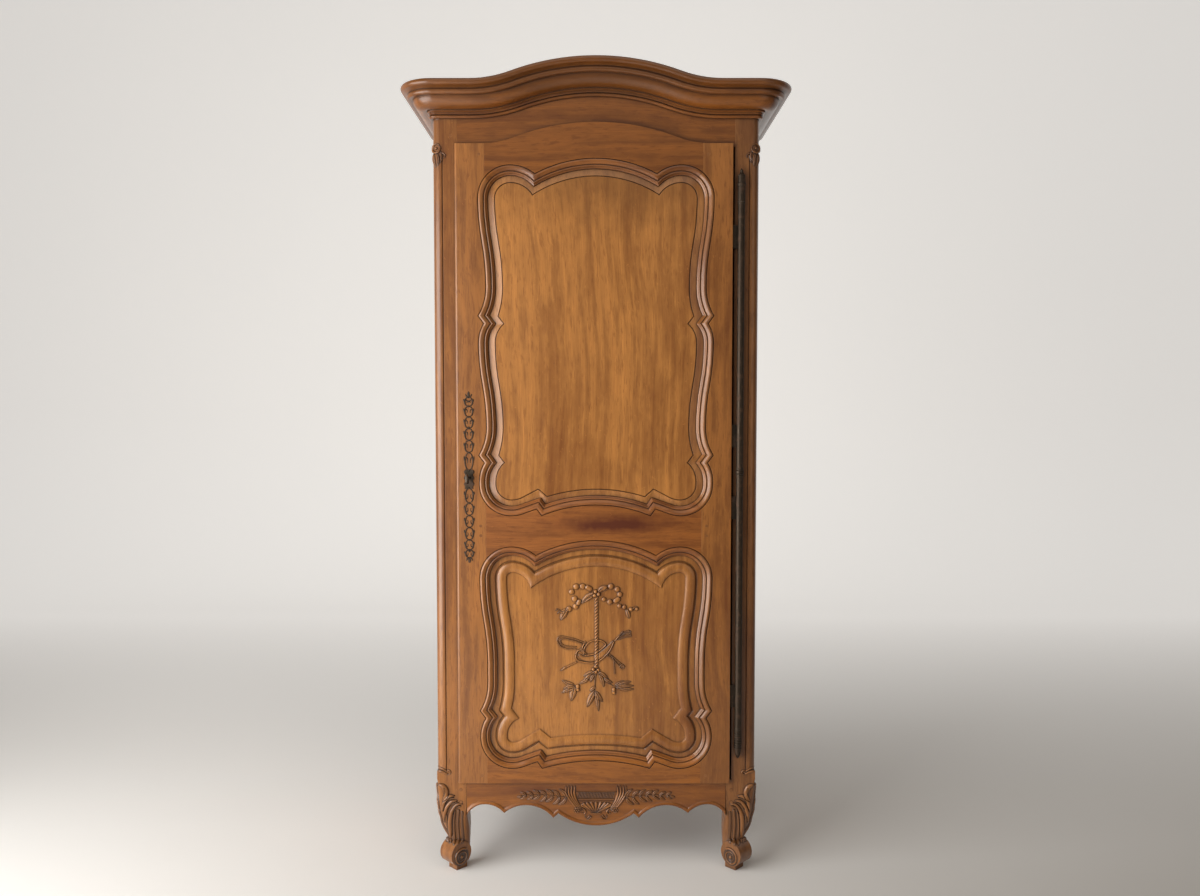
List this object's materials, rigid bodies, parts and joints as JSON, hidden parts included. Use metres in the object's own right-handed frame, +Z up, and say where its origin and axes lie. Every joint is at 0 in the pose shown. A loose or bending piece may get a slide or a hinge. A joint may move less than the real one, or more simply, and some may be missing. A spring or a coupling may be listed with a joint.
{
  "type": "bonnetiere cupboard",
  "caption": "Tall walnut cupboard with one lipped door of shaped panels, an arched cornice, fixed shelves and cabriole front legs on scroll feet",
  "frame": {"origin": "centre of the footprint, cornice included, on the floor", "axes": "+X to the right seen from the front, +Y from the front to the back, +Z up"},
  "size_m": [1.024, 0.562, 2.15],
  "materials": {
    "walnut": "waxed old walnut",
    "inside_wood": "unfinished softwood and oak",
    "peg_wood": "waxed end grain",
    "hinge_iron": "dark forged iron",
    "lock_iron": "filed iron",
    "escutcheon_iron": "pierced sheet iron, worn",
    "key_iron": "worn iron key"
  },
  "bodies": {
    "carcass": {"apron_rail": "walnut", "back_boards": "inside_wood", "back_bottom_rail": "inside_wood", "back_middle_rail": "inside_wood", "back_top_rail": "inside_wood", "carcass_pegs": "peg_wood", "cornice_back_rail": "inside_wood", "cornice_front": "walnut", "cornice_left_return": "walnut", "cornice_right_return": "walnut", "floor_boards": "inside_wood", "floor_cleats": "inside_wood", "frieze_rail": "walnut", "hinge_bottom_knuckle": "hinge_iron", "hinge_middle_ring": "hinge_iron", "hinge_pin": "hinge_iron", "hinge_top_knuckle": "hinge_iron", "left_front_stile": "walnut", "left_rear_stile": "walnut", "left_side_bottom_rail": "walnut", "left_side_lower_panel": "walnut", "left_side_middle_rail": "walnut", "left_side_top_rail": "walnut", "left_side_upper_panel": "walnut", "lock_strike": "lock_iron", "right_front_stile": "walnut", "right_rear_stile": "walnut", "right_side_bottom_rail": "walnut", "right_side_lower_panel": "walnut", "right_side_middle_rail": "walnut", "right_side_top_rail": "walnut", "right_side_upper_panel": "walnut", "shelf_cleats": "inside_wood", "shelf_high": "inside_wood", "shelf_low": "inside_wood", "shelf_mid": "inside_wood", "top_boards": "inside_wood"},
    "door": {"door_bottom_rail": "walnut", "door_left_stile": "walnut", "door_lower_panel": "walnut", "door_middle_rail": "walnut", "door_pegs": "peg_wood", "door_right_stile": "walnut", "door_top_rail": "walnut", "door_upper_panel": "walnut", "hinge_lower_barrel": "hinge_iron", "hinge_upper_barrel": "hinge_iron", "lock_case": "lock_iron", "lock_escutcheon": "escutcheon_iron"},
    "bolt": {"lock_bolt": "lock_iron"},
    "key": {"key": "key_iron"}
  },
  "joints": [
    {"name": "door_swing", "type": "hinge", "parent": "carcass", "child": "door", "pos_m": [0.381, -0.21, 1.08], "axis": [0, 0, 1], "range_deg": [0, 170]},
    {"name": "key_turn", "type": "hinge", "parent": "door", "child": "key", "pos_m": [-0.34, -0.205, 1.068], "axis": [0, -1, 0], "range_deg": [0, 360]},
    {"name": "bolt_slide", "type": "slide", "parent": "door", "child": "bolt", "axis": [-1, 0, 0], "range_m": [0, 0.014]}
  ],
  "couplings": [
    {"joint": "key_turn", "follows": "bolt_slide", "rad_per_m": 448.79}
  ]
}
